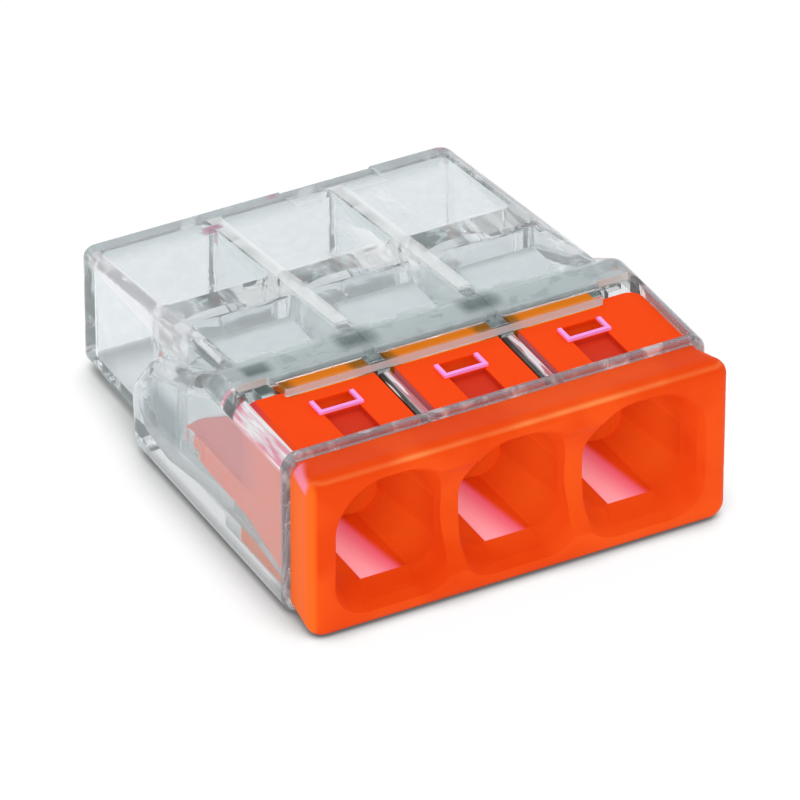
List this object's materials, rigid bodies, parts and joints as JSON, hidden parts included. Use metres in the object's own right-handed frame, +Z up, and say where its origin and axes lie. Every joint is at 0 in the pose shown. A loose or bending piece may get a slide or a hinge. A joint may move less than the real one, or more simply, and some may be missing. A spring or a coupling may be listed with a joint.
{
  "type": "push-in wire connector",
  "caption": "Compact clear push-in splicing connector for solid wires, with an orange front cover, a common busbar and leaf-spring clamps.",
  "frame": {"origin": "bottom centre of the bounding box, on the plane the housing rests on", "axes": "+X along the row of wire entries, +Y from the wire entries towards the closed end, +Z up"},
  "size_m": [0.0142, 0.0164, 0.0056],
  "materials": {
    "clear_plastic": "polished clear polycarbonate",
    "orange_plastic": "satin moulded",
    "tinned_copper": "bright tin plating",
    "spring_steel": "rolled spring strip"
  },
  "bodies": {
    "housing": {"clear_housing": "clear_plastic", "front_cover": "orange_plastic", "busbar": "tinned_copper", "spring_anchor_1": "spring_steel", "spring_anchor_2": "spring_steel", "spring_anchor_3": "spring_steel"},
    "blade_1": {"spring_blade_1": "spring_steel"},
    "blade_2": {"spring_blade_2": "spring_steel"},
    "blade_3": {"spring_blade_3": "spring_steel"}
  },
  "joints": [
    {"name": "blade_1_flex", "type": "hinge", "parent": "housing", "child": "blade_1", "pos_m": [-0.00415, -0.0017, 0.00399], "axis": [1, 0, 0], "range_deg": [0, 37.9], "stiffness_Nm_per_rad": 0.03},
    {"name": "blade_2_flex", "type": "hinge", "parent": "housing", "child": "blade_2", "pos_m": [0, -0.0017, 0.00399], "axis": [1, 0, 0], "range_deg": [0, 37.9], "stiffness_Nm_per_rad": 0.03},
    {"name": "blade_3_flex", "type": "hinge", "parent": "housing", "child": "blade_3", "pos_m": [0.00415, -0.0017, 0.00399], "axis": [1, 0, 0], "range_deg": [0, 37.9], "stiffness_Nm_per_rad": 0.03}
  ]
}
